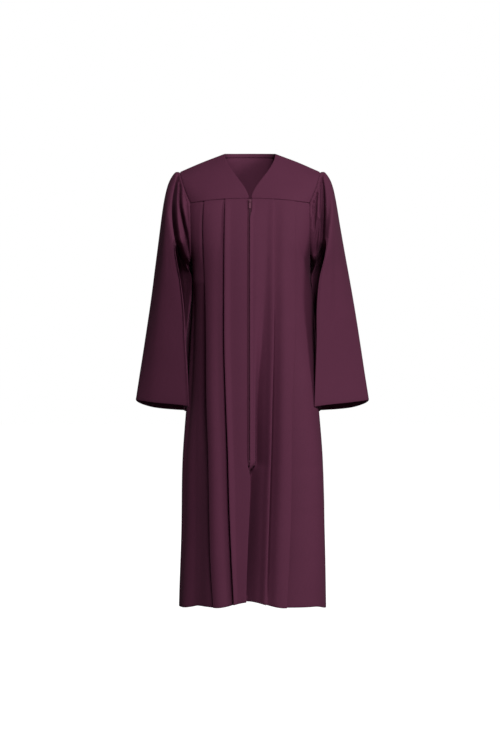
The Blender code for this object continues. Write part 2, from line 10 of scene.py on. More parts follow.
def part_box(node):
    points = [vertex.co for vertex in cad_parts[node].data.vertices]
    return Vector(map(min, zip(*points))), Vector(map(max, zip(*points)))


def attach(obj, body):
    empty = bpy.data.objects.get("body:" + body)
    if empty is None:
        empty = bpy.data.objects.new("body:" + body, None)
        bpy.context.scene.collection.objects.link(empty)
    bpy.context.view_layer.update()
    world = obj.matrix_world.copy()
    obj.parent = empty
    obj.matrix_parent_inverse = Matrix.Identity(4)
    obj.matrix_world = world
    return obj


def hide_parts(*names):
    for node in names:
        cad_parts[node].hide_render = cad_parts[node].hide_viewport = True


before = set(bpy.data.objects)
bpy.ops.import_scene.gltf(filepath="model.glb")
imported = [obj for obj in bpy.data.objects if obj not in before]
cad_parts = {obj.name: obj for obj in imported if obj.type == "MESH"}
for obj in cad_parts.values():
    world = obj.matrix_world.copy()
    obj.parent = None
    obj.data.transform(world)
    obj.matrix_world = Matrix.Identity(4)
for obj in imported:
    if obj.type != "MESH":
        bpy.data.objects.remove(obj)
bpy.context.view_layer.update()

# ------------------------ room
# The robe hangs in a plain pale room, as high over the floor as its wearer carries it. A broad soft
# lamp stands in front on the right, a weaker one on the left, and the walls give an even light.
FLOOR_HEIGHT = -1.42
EYE_HEIGHT = -0.557
EYE_DISTANCE = 5.5
VIEW_HEIGHT = 1.90
LONG_SIDE = 36.0


def put(name, data):
    thing = bpy.data.objects.new(name, data)
    bpy.context.scene.collection.objects.link(thing)
    return thing


camera = put("front_camera", bpy.data.cameras.new("front_camera"))
camera.data.sensor_width = LONG_SIDE
camera.data.lens = LONG_SIDE * EYE_DISTANCE / VIEW_HEIGHT
camera.location = (0, -EYE_DISTANCE, EYE_HEIGHT)
camera.rotation_euler = (math.pi / 2, 0, 0)
bpy.context.scene.camera = camera


def soft_lamp(name, place, size, power):
    lamp = put(name, bpy.data.lights.new(name, "AREA"))
    lamp.data.shape = "DISK"
    lamp.data.size = size
    lamp.data.energy = power
    lamp.location = place
    aim = Vector((0, 0, -0.5)) - lamp.location
    lamp.rotation_euler = aim.to_track_quat("-Z", "Y").to_euler()
    return lamp


soft_lamp("key_lamp", (1.4, -6.5, 2.8), 2.0, 360)
soft_lamp("side_lamp", (5.8, -3.5, 2.4), 2.0, 195)
behind = soft_lamp("back_lamp", (-1.6, 6.4, 1.6), 3.0, 260)
behind.visible_glossy = False  # it lights the back of the robe, without a glint round its outline


def node(tree, kind, values=None, **settings):
    """A shader node, with its settings and the values of its sockets."""
    made = tree.nodes.new("ShaderNode" + kind)
    for setting, value in settings.items():
        setattr(made, setting, value)
    for entry, value in (values or {}).items():
        made.inputs[entry].default_value = value
    return made


def wire(tree, *joins):
    """Links, each from a node and its output to a node and its input."""
    for source, output, target, entry in joins:
        tree.links.new(source.outputs[output], target.inputs[entry])


def finish(name, values):
    """A new material with its shader's values, and the node tree and shader to build it on."""
    material = bpy.data.materials.new(name)
    material.use_nodes = True
    shader = material.node_tree.nodes["Principled BSDF"]
    for entry, value in values.items():
        shader.inputs[entry].default_value = value
    return material, material.node_tree, shader


def piece_of(name, shape, material, slot=None):
    """A finished shape as a thing of its own, in its material; one with a slot is part of the robe."""
    mesh = bpy.data.meshes.new(name)
    shape.to_mesh(mesh)
    shape.free()
    mesh.materials.append(material)
    piece = put(name, mesh)
    if slot:
        mesh.shade_smooth()
        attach(piece, "robe")
    return piece


def pale_walls(seen, lit):
    """A white surround, dimmer for the light that it gives than for the eye."""
    world = bpy.data.worlds.new("pale_walls")
    world.use_nodes = True
    tree = world.node_tree
    tree.nodes.clear()
    out, mix, path = (node(tree, kind) for kind in ("OutputWorld", "MixShader", "LightPath"))
    for entry, strength in ((1, lit), (2, seen)):
        wire(tree, (node(tree, "Background", {"Color": (1, 1, 1, 1), "Strength": strength}), 0, mix, entry))
    wire(tree, (path, "Is Camera Ray", mix, "Fac"), (mix, 0, out, "Surface"))
    bpy.context.scene.world = world


pale_walls(seen=1.0, lit=0.055)
bpy.context.scene.view_settings.view_transform = "Standard"


def pale_floor():
    floor = bmesh.new()
    bmesh.ops.create_circle(floor, cap_ends=True, segments=64, radius=30)
    bmesh.ops.translate(floor, vec=(0, 0, FLOOR_HEIGHT), verts=floor.verts)
    paint, tree, shader = finish("pale_floor", {
        "Base Color": (0.16, 0.16, 0.16, 1), "Roughness": 0.9, "Specular IOR Level": 0.1,
        "Emission Color": (1, 1, 1, 1),
    })
    wire(tree, (node(tree, "LightPath"), "Is Camera Ray", shader, "Emission Strength"))
    piece_of("floor", floor, paint)


pale_floor()

# ------------------------ yoke
# The yoke is three flat pieces of polyester twill, two in front and one behind, sewn together along the
# shoulders. Its neck edge is turned in and pressed, and the pleated panels hang from its lower seam.
CLOTH = 0.0007  # thickness of the cloth
CHEST_WIDTH = 0.150  # centre front to the armhole seam
YOKE_CENTRE = -0.119  # height of the yoke seam at the centre front
YOKE_DROP = 0.010  # how much lower it is at the armhole
YOKE_BACK = -0.129  # height of the back yoke seam
SWAY = 0.006  # how far the robe's sides hang over to the wearer's left
SQUARENESS = 2.4  # 2 is an ellipse, more is boxier


def metres(size):
    """A size that is written in millimetres, or a line of such sizes."""
    return [metres(part) for part in size] if isinstance(size, tuple) else size / 1000


def table(kind, rows):
    """A table written in millimetres; its shares and its counts stay as they are."""
    plain = {"middle", "stretch", "widen", "share", "width"}
    return [
        kind(*(size if column in plain else metres(size) for column, size in zip(kind._fields, kind(*row))))
        for row in rows
    ]


Ring = namedtuple("Ring", "height half_width front back")
BODY = table(Ring, (
    (-100, 172, 86, 88), (-160, 171, 110, 104),
    (-220, 163, 128, 112), (-274, 151, 137, 114),
    (-340, 150, 141, 113), (-450, 156, 143, 112),
    (-620, 166.5, 147, 122), (-780, 178, 150, 132),
    (-960, 181, 154, 141), (-1160, 187, 158, 150),
))
NECKLINE = [Vector(metres(place)) for place in (  # from the shoulder seam to the zip
    (66, 4, 0), (61, -18, -19), (48, -42, -43), (29, -63, -70), (14, -77, -92), (4.8, -87, -112),
)]
BACK_NECK = Vector((0.0, 0.062, 0.006))
ArmPoint = namedtuple("ArmPoint", "x front back z")
ARMHOLE_TOP = table(ArmPoint, (  # from the shoulder tip down to the yoke's corner
    (178.5, 6, 6, -45.5), (175, -16, 27, -60),
    (168, -34, 44, -84), (160, -47, 53, -107),
))
ARM_TIP = Vector((ARMHOLE_TOP[0].x, ARMHOLE_TOP[0].front, ARMHOLE_TOP[0].z))
SHOULDER = [NECKLINE[0], NECKLINE[0].lerp(ARM_TIP, 0.5) + Vector((0, 0, 0.0015)), ARM_TIP]


def ease(part):
    part = min(max(part, 0.0), 1.0)
    return part * part * (3 - 2 * part)


def curve(start, slope_in, end, slope_out, part):
    """A smooth curve's value at a share of its way, from its two ends and its slopes there."""
    square, cube = part**2, part**3
    return (
        (2 * cube - 3 * square + 1) * start
        + (cube - 2 * square + part) * slope_in
        + (3 * square - 2 * cube) * end
        + (cube - square) * slope_out
    )


def bent(before, start, end, after, part, soft_in=1.0, soft_out=1.0):
    """A smooth value from start to end, leaning on the values either side; softness 0 makes a corner."""
    return curve(start, (end - before) / 2 * soft_in, end, (after - start) / 2 * soft_out, part)


def between(rows, height):
    """A value at a height, smooth between rows of heights and values, which run downwards."""
    if height >= rows[0][0] or height < rows[-1][0]:
        return rows[0 if height >= rows[0][0] else -1][1]
    index = next(k for k in range(len(rows) - 1) if height >= rows[k + 1][0])
    (top, start), (low, end) = rows[index], rows[index + 1]
    before, after = rows[max(index - 1, 0)][1], rows[min(index + 2, len(rows) - 1)][1]
    return bent(before, start, end, after, (top - height) / (top - low))


def size_at(rows, column, height):
    return between([(row.height, getattr(row, column)) for row in rows], height)


def along(points, part):
    """A point at a share of the way along a smooth line through a few points."""
    place = min(max(part, 0.0), 1.0) * (len(points) - 1)
    index = min(int(place), len(points) - 2)
    before = points[max(index - 1, 0)]
    after = points[min(index + 2, len(points) - 1)]
    return bent(before, points[index], points[index + 1], after, place - index)


def ring_point(height, angle, back):
    """A point on the body's ring: angle 0 at the centre, a quarter turn at the side."""
    power = 2 / SQUARENESS
    depth = size_at(BODY, "back" if back else "front", height)
    x = size_at(BODY, "half_width", height) * math.sin(angle) ** power
    y = depth * max(math.cos(angle), 0.0) ** power
    return Vector((x, y if back else -y, height))


def ring_angle(height, x):
    share = min(x / size_at(BODY, "half_width", height), 1.0)
    return math.asin(share ** (SQUARENESS / 2))


def yoke_seam(x, back):
    if back:
        return YOKE_BACK
    return YOKE_CENTRE - YOKE_DROP * (abs(x) / CHEST_WIDTH) ** 2


def seam_point(x, back):
    height = yoke_seam(x, back)
    return ring_point(height, ring_angle(height, x), back)


def armhole_top(back):
    points = [Vector((row.x, row.back if back else row.front, row.z)) for row in ARMHOLE_TOP]
    return points + [seam_point(CHEST_WIDTH, back)]


def hung(point, side):
    """A point of the left half as it hangs on its side: 1 is the wearer's left, -1 the right."""
    share = min(abs(point.x) / size_at(BODY, "half_width", point.z), 1.0)
    sway = SWAY * ease((-0.10 - point.z) / 0.35) * share**4
    return Vector((side * point.x + sway, point.y, point.z))


def patch(top, bottom, start, end, rows, columns):
    """A smooth sheet between four edges: top and bottom run outward, start and end run down."""
    grid = []
    for r in range(rows + 1):
        v = r / rows
        low = ease(v)
        line = []
        for c in range(columns + 1):
            u = c / columns
            across = top(u) * (1 - low) + bottom(u) * low
            sides = start(v) * (1 - u) + end(v) * u
            above = top(0) * (1 - u) + top(1) * u
            below = bottom(0) * (1 - u) + bottom(1) * u
            line.append(across + sides - above * (1 - low) - below * low)
        grid.append(line)
    return grid


def settled(grid, rounds):
    """A sheet whose inner points have settled to the middle of their neighbours, as taut cloth does."""
    for _ in range(rounds):
        before = [[point.copy() for point in line] for line in grid]
        for r in range(1, len(grid) - 1):
            for c in range(1, len(grid[0]) - 1):
                sides = before[r][c - 1] + before[r][c + 1]
                grid[r][c] = (sides + before[r - 1][c] + before[r + 1][c]) / 4
    return grid


def turned(rows):
    """Rows for columns."""
    return [list(line) for line in zip(*rows)]


def finer(lines, times):
    """The same lines with more points, smooth through the ones they had."""
    count = (len(lines[0]) - 1) * times
    return [[along(line, k / count) for k in range(count + 1)] for line in lines]


def gone(points):
    """How far along a line each of its points lies."""
    lengths = [0.0]
    for before, after in zip(points, points[1:]):
        lengths.append(lengths[-1] + (after - before).length)
    return lengths


def outward(rows, level, column, side):
    """The way the cloth faces at one of its points."""
    line = rows[level]
    run = line[min(column + 1, len(line) - 1)] - line[max(column - 1, 0)]
    rise = rows[max(level - 1, 0)][column] - rows[min(level + 1, len(rows) - 1)][column]
    return run.cross(rise).normalized() * side


def eased(rows, side, depth_at):
    """The rows with each point sunk along the way it faces by depth_at(point, level, column)."""
    return [
        [
            point - outward(rows, level, column, side) * depth_at(point, level, column)
            for column, point in enumerate(line)
        ]
        for level, line in enumerate(rows)
    ]


SEAM_STEPS = (0.0008, 0.0018, 0.0032)  # rows close to a sewn edge, where it rolls in
SEAM_SINK = 0.0013  # how deep it is drawn in at the seam


def sewn(rows, side):
    """The rows with their first one drawn in to its seam, and a few close ones to round it."""
    lead = []
    for column, point in enumerate(rows[0]):
        run = rows[1][column] - point
        reach = max(run.length, SEAM_STEPS[-1] / 0.85)  # the close rows stay short of the next one
        inward = outward(rows, 0, column, side) * -SEAM_SINK
        stops = [point] + [point + run * (step / reach) for step in SEAM_STEPS]
        dips = [(1 - step / SEAM_STEPS[-1]) ** 2 for step in (0.0, *SEAM_STEPS)]
        lead.append([stop + inward * dip for stop, dip in zip(stops, dips)])
    return turned(lead) + rows[1:]


def sewn_last(rows, side):
    """The same at the last row."""
    return sewn(rows[::-1], -side)[::-1]


def turned_in(rows, side, rows_in, radius=0.0006):
    """The rows with their last one folded to the inside and pressed, as at a hem or a neck edge."""
    bottom = len(rows) - 1
    fold = []
    for column, point in enumerate(rows[bottom]):
        out = outward(rows, bottom, column, side)
        down = (point - rows[bottom - 1][column]).normalized()
        middle = point - out * radius
        turn = [middle + (out * math.cos(a) + down * math.sin(a)) * radius
                for a in (math.pi / 4, math.pi / 2, 3 * math.pi / 4, math.pi)]
        inside = [rows[bottom - k][column] - out * 2 * radius for k in range(1, rows_in + 1)]
        fold.append(turn + inside)
    return rows + turned(fold)


def cloth_sheet(name, rows, side, material, joined=False):
    """A sheet of cloth through rows of points, with its grain laid in metres along them."""
    columns, levels = len(rows[0]) - 1, len(rows) - 1
    sheet = bmesh.new()
    grain = sheet.loops.layers.uv.new("grain")
    bmesh.ops.create_grid(sheet, x_segments=columns, y_segments=levels, size=0.5, calc_uvs=True)
    runs, falls = gone(rows[levels // 2]), gone([row[columns // 2] for row in rows])
    places = {}
    for vertex in sheet.verts:
        column = round((vertex.co.x + 0.5) * columns)
        level = round((0.5 - vertex.co.y) * levels)
        places[vertex] = (runs[column], -falls[level])
        vertex.co = rows[level][column]
    for face in sheet.faces:
        for corner in face.loops:
            corner[grain].uv = places[corner.vert]
    if side < 0:
        bmesh.ops.reverse_faces(sheet, faces=sheet.faces)
    if joined:
        bmesh.ops.remove_doubles(sheet, verts=sheet.verts, dist=0.00005)
    piece = piece_of(name, sheet, material, "robe_cloth")
    wall = piece.modifiers.new("thickness", "SOLIDIFY")
    wall.thickness = CLOTH
    wall.offset = 0.0
    return piece


# the cloth's finish: plum twill, dyed a little unevenly, with a faint bloom across its nap
PLUM = (0.100, 0.0238, 0.0528)


def scaled(tree, times, plus):
    """A node that gives its first input so many times, plus a value."""
    return node(tree, "Math", {1: times, 2: plus}, operation="MULTIPLY_ADD")


def twill_weave():
    """Diagonal ribs of a fine twill, read in metres from the cloth's grain."""
    group = bpy.data.node_groups.new("twill_weave", "ShaderNodeTree")
    group.interface.new_socket("Grain", in_out="INPUT", socket_type="NodeSocketVector")
    width = group.interface.new_socket("Rib Width", in_out="INPUT", socket_type="NodeSocketFloat")
    width.default_value = 0.0009
    for name in ("Ribs", "Slub"):
        group.interface.new_socket(name, in_out="OUTPUT", socket_type="NodeSocketFloat")
    given, result = group.nodes.new("NodeGroupInput"), group.nodes.new("NodeGroupOutput")
    across = node(group, "VectorMath", {1: (1.0, 0.8, 0.0)}, operation="DOT_PRODUCT")
    turns = node(group, "Math", operation="DIVIDE")
    angle = node(group, "Math", {1: 2 * math.pi}, operation="MULTIPLY")
    wave = node(group, "Math", operation="SINE")
    half = scaled(group, 0.5, 0.5)
    stretch = node(group, "VectorMath", {1: (900.0, 60.0, 1.0)}, operation="MULTIPLY")
    slub = node(group, "TexNoise", {"Scale": 1.0, "Detail": 1.0})
    wire(group, (given, "Grain", across, 0), (across, "Value", turns, 0), (given, "Rib Width", turns, 1),
         (turns, 0, angle, 0), (angle, 0, wave, 0), (wave, 0, half, 0), (half, 0, result, "Ribs"),
         (given, "Grain", stretch, 0), (stretch, 0, slub, "Vector"), (slub, "Fac", result, "Slub"))
    return group


def tinted(tree, shader, colour, shade, height, strength, depth):
    """A colour dimmed by a shade, and a bump from a height, each of them a node and its output."""
    tint = node(tree, "VectorMath", {0: colour}, operation="SCALE")
    bump = node(tree, "Bump", {"Strength": strength, "Distance": depth})
    wire(tree, (*shade, tint, "Scale"), (tint, 0, shader, "Base Color"),
         (*height, bump, "Height"), (bump, "Normal", shader, "Normal"))


def robe_cloth():
    material, tree, shader = finish("robe_cloth", {
        "Roughness": 0.78, "Specular IOR Level": 0.12, "Sheen Weight": 0.03, "Sheen Roughness": 0.5,
        "Sheen Tint": (0.80, 0.42, 0.58, 1),
    })
    grain = node(tree, "UVMap", uv_map="grain")
    weave = node(tree, "Group", node_tree=twill_weave())
    place = node(tree, "TexCoord")
    dye = node(tree, "TexNoise", {"Scale": 9.0, "Detail": 3.0})
    dyed, ribbed, slubbed = (scaled(tree, depth, 1 - depth / 2) for depth in (0.12, 0.14, 0.12))
    both, all_three = (node(tree, "Math", operation="MULTIPLY") for _ in range(2))
    wire(tree, (grain, "UV", weave, "Grain"), (place, "Object", dye, "Vector"), (dye, "Fac", dyed, 0),
         (weave, "Ribs", ribbed, 0), (weave, "Slub", slubbed, 0), (dyed, 0, both, 0), (ribbed, 0, both, 1),
         (both, 0, all_three, 0), (slubbed, 0, all_three, 1))
    tinted(tree, shader, PLUM, (all_three, 0), (weave, "Ribs"), 0.35, 0.00012)
    return material


cloth = robe_cloth()


def faint(point, seed):
    """The slight unevenness of hung cloth."""
    return 0.0006 * noise.noise(Vector((point.x / 0.05 + seed, point.y / 0.05, point.z / 0.10)))


def front_yokes():
    centre_x = NECKLINE[-1].x
    neck = NECKLINE + [seam_point(centre_x, False)]
    arm = armhole_top(back=False)
    grid = patch(
        top=lambda u: along(SHOULDER, u),
        bottom=lambda u: seam_point(centre_x + (CHEST_WIDTH - centre_x) * u, False),
        start=lambda v: along(neck, v),
        end=lambda v: along(arm, v),
        rows=24,
        columns=24,
    )
    grid = turned(finer(turned(finer(grid, 2)), 2))
    for name, side in (("left", 1), ("right", -1)):
        rows = [[hung(point, side) for point in line] for line in grid]
        rows = eased(rows, side, lambda point, level, column: faint(point, 3.0 * side))
        columns = turned(sewn_last(sewn(rows, side), side))[::-1]
        columns = turned_in(sewn(columns, side), side, 4)
        piece = cloth_sheet(f"front_yoke_{name}", turned(columns[::-1]), side, cloth)
        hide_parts(f"yoke_front_{name}")


front_yokes()


def back_yoke():
    neck_point = NECKLINE[0]
    arm = armhole_top(back=True)
    other_shoulder, other_arm = (
        [Vector((-point.x, point.y, point.z)) for point in line] for line in (SHOULDER, arm)
    )

    share = 0.3  # of the top edge that lies along one shoulder

    def top(u):
        """Over the right shoulder, round the back of the neck, and over the left shoulder."""
        if u < share:
            return along(other_shoulder, 1 - u / share)
        if u > 1 - share:
            return along(SHOULDER, (u - 1 + share) / share)
        turn = math.pi * (u - share) / (1 - 2 * share)
        bow = math.sin(turn) ** 0.8
        return Vector((-neck_point.x * math.cos(turn),
                       neck_point.y + (BACK_NECK.y - neck_point.y) * bow, BACK_NECK.z * bow))

    def bottom(u):
        x = (2 * u - 1) * CHEST_WIDTH
        point = seam_point(abs(x), True)
        return Vector((x, point.y, point.z))

    grid = patch(top, bottom, lambda v: along(other_arm, v), lambda v: along(arm, v), rows=8, columns=20)
    rows = turned(finer(turned(finer(settled(grid, 24), 5)), 5))
    rows = eased(rows, -1, lambda point, level, column: faint(point, 8.0))
    columns = sewn_last(sewn(turned(sewn_last(rows, -1)), 1), 1)
    rows = turned_in(turned(columns)[::-1], 1, 3)[::-1]
    piece = cloth_sheet("back_yoke", rows, -1, cloth)
    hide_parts("yoke_back")


back_yoke()

# ------------------------ panels
# Two front panels and one back panel hang from the yoke. Each half has two pressed knife pleats, sewn into
# the yoke seam with their edges facing outwards, which open a little towards the hem. The hem is turned up.
ARMPIT = -0.274  # height of the lowest point of the armhole
HEM_CENTRE = -1.126  # height of the hem at the centre front
HEM_FALL = 0.015  # how much lower it is at the outer pleats
HEM_BACK = -1.150  # height of the hem at the sides and back
HEM_PULL = -0.56  # height from which the rows begin to follow the hem
FOLD_RADIUS = 0.0011  # middle of the cloth at a pressed pleat edge
SEWN_RADIUS = 0.00045  # the same where the pleats are sewn flat into the seam
TURN_RADIUS = 0.0006  # middle of the cloth at the turned edges beside the zip
ALLOWANCE = 0.004  # cloth above the seam, hidden behind the yoke
TUCK_DEPTH = 0.0027  # how far the allowance lies behind the yoke's face
LEVELS = 144  # rows down a panel
SEAM_ROLL = 0.0045  # how far below the seam a panel still rolls in to it
BELOW_EDGE = 0.002  # how far a pleat's lowest layer runs on past its edge
TAPE_COVER = 0.0115  # breadth of the flat cloth over a zip tape
ZIP_END = -0.800  # height where that flat ends
LIP_BREADTH = 0.008  # of the standing edge beside the coil

# where the two pleats' edges lie, how much cloth they take up, how far their layers stand apart, how far
# the outer edge rolls back, and how deep and at what share of the way to the inner pleat the middle sinks
Pleat = namedtuple("Pleat", "height outer inner depth spread roll valley middle", defaults=(0.5,))
PLEATS = {
    "right": table(Pleat, (
        (-119, 114.6, 62.2, 16, 0, 0, 0), (-134, 115.2, 62.4, 16, 2.6, 0, 0.1),
        (-195, 116.8, 63, 16, 3, 0.6, 0.3), (-277, 115, 63.4, 17, 5, 1.6, 0.5),
        (-360, 113, 63.4, 18, 8, 3.4, 0.5), (-486, 111.2, 63, 18, 10, 4.6, 0.5),
        (-625, 110, 59, 20, 12, 5.6, 0.5), (-761, 105, 54, 22, 13, 6, 0.5),
        (-896, 102.5, 50.5, 24, 13, 6.2, 0.5), (-1020, 99.5, 45.5, 25, 13, 6.2, 0.5),
        (-1160, 91, 39.5, 26, 12, 5, 0),
    )),
    "left": table(Pleat, (
        (-119, 112.6, 60, 16, 0, 0, 0, 0.6), (-195, 112.8, 59.6, 16, 2, 0, 0.8, 0.6),
        (-277, 112, 59, 17, 4, 0, 2.5, 0.6), (-360, 110.8, 58.8, 18, 6, 0, 5, 0.55),
        (-486, 109.1, 58, 18, 10, 0, 11, 0.4), (-625, 102.5, 54.5, 20, 14, 0, 23, 0.15),
        (-761, 100.5, 51.5, 22, 17, 0, 33, 0.12), (-830, 99.7, 49, 23, 18, 0, 28, 0.16),
        (-896, 99, 47, 23, 18, 0, 10, 0.2), (-1020, 94.8, 43, 24, 18, 0, 0, 0.24),
        (-1160, 89, 38.5, 25, 16, 0, 0, 0.24),
    )),
    "back": table(Pleat, (
        (-119, 113.5, 61, 16, 0, 0, 0), (-260, 113, 61.2, 17, 1, 0, 1),
        (-450, 109, 61, 18, 3, 1, 3), (-650, 104.5, 56, 20, 6, 2, 6),
        (-850, 99.5, 50.5, 23, 9, 3, 6), (-1000, 95.5, 45.5, 25, 11, 4, 4),
        (-1160, 88.5, 39.5, 26, 12, 4, 2),
    )),
}

# the front panels' turned edges: along the zip the left one stands up as a lip over half of the coil, and
# below the zip the right one crosses over the left one, which falls back behind it
Edge = namedtuple("Edge", "height place tuck lip", defaults=(0, 0))
EDGES = {
    "right": table(Edge, (
        (-119, 6), (-170, 8), (-765, 8), (-784, 6), (-812, 0.6),
        (-850, -0.5), (-880, 1), (-976, 5), (-1076, 8.6), (-1140, 9.5),
    )),
    "left": table(Edge, (
        (-119, 5), (-149, 4.6, 0, 2.4), (-170, -0.2, 0, 3.4), (-760, -0.2, 0, 3.4), (-787, -0.2, 0, 3),
        (-803, -5.5, 5, 0), (-830, -9, 13, 0), (-880, -11, 34, 0), (-1000, -15, 50, 0), (-1140, -18, 36, 0),
    )),
}

# soft folds between the pleats: on which stretch of cloth (0 from the centre, 1 between the pleats, 2 at
# the side), the places (x, height) it runs through, its breadth to either side, how deep it sinks, and how
# many times broader it is at its lower end
Crease = namedtuple("Crease", "stretch line near far depth widen", defaults=(1.4,))
CREASES = {
    "right": table(Crease, (
        (1, ((65.5, -121), (66.8, -200), (66.8, -360), (66.5, -486), (62, -625), (57.5, -761), (54, -896),
             (49, -1020), (42, -1200)), 3, 3.4, 16, 1),
        (2, ((118, -122), (119.2, -150), (120, -200), (120, -280)), 2, 4, 7, 1.3),
        (2, ((121, -340), (119, -600), (112, -950), (103, -1400)), 8, 20, 4, 1.2),
        (2, ((139, -330), (142, -450), (148, -580), (156, -760), (157, -950), (155, -1600)), 36, 20, 26, 1.2),
    )),
    "left": table(Crease, (
        (1, ((64, -125), (63, -300), (61.5, -500), (57.5, -700), (53, -860), (47.5, -1020),
             (42, -1260)), 3, 15, 10, 1),
        (1, ((61.5, -400), (58, -625), (55, -761), (52.5, -830), (50.5, -896), (46.5, -1020),
             (43, -1120)), 3, 3, 8, 1),
        (2, ((114.5, -215), (125, -262), (139.5, -323), (158, -457)), 12, 5, -5),
        (2, ((135, -550), (152, -800), (156, -1200)), 20, 16, -4),
    )),
    "back": table(Crease, (
        (1, ((67, -400), (61, -750), (48, -1130)), 4, 6, 9),
        (2, ((120, -220), (115, -600), (99, -1400)), 8, 14, 10),
        (2, ((150, -350), (146, -700), (136, -1450)), 26, 12, 10),
    )),
}


def sunk(creases, stretch, x, height):
    """How deep the soft folds sink the cloth at a place."""
    depth = 0.0
    for crease in creases:
        top, low = crease.line[0][1], crease.line[-1][1]
        if crease.stretch == stretch and low < height < top:
            part = (top - height) / (top - low)
            middle = between([(level, place) for place, level in crease.line], height)
            breadth = (crease.far if x > middle else crease.near) * (1 + (crease.widen - 1) * part)
            swell = math.sin(math.pi * part) ** 0.6
            depth += crease.depth * swell * math.exp(-(abs((x - middle) / breadth) ** 2.4))
    return depth


def hem_line(x, back):
    if back:
        return HEM_BACK
    low = HEM_CENTRE - HEM_FALL * ease(abs(x) / 0.085)
    return low + (HEM_BACK - HEM_CENTRE + HEM_FALL) * ease((abs(x) - CHEST_WIDTH) / 0.036)


def off_ring(height, angle, offset, back):
    """A point on the body's ring, moved out from the body by an offset."""
    here = ring_point(height, angle, back)
    step = 0.01
    run = ring_point(height, min(angle + step, math.pi / 2), back)
    run = run - ring_point(height, max(angle - step, 0.0), back)
    out = Vector((-run.y, run.x, 0)) if back else Vector((run.y, -run.x, 0))
    return here + out.normalized() * offset


def round_turn(x, offset, radius, start, end):
    """A pressed edge's round, between two angles about its middle."""
    turn = []
    for k in range(7):
        angle = math.radians(start + (end - start) * k / 6)
        turn.append((x + radius * math.cos(angle), offset + radius * math.sin(angle)))
    return turn


def straight(start, end, count):
    """Even steps between two places on the cloth's path, without its ends."""
    return [
        (start[0] + (end[0] - start[0]) * k / count, start[1] + (end[1] - start[1]) * k / count)
        for k in range(1, count)
    ]


def bank(part):
    """A slope that starts steeply and levels out: 1 at its start and 0 at its end."""
    return 1 - math.sin(math.pi / 2 * min(max(part, 0.0), 1.0)) ** 1.2


def knife_pleat(fold, depth, top, bottom, drop, radius, face):
    """A pleat's hidden layers: round its edge, back behind the cloth's face, and out again below."""
    inner = fold - depth + radius
    middle = min(-drop - radius, face(inner) - 3 * radius)
    path = round_turn(fold - radius, top - radius, radius, 90, -90)
    for x, offset in straight((fold - radius, top - 2 * radius), (inner, middle + radius), 6):
        path.append((x, min(offset, face(x) - 2 * radius)))
    path += round_turn(inner, middle, radius, 90, 270)
    for x, offset in straight((inner, middle - radius), (fold + BELOW_EDGE, bottom), 7):
        path.append((x, min(offset, face(x) - 4 * radius) if x < fold else offset))
    return path


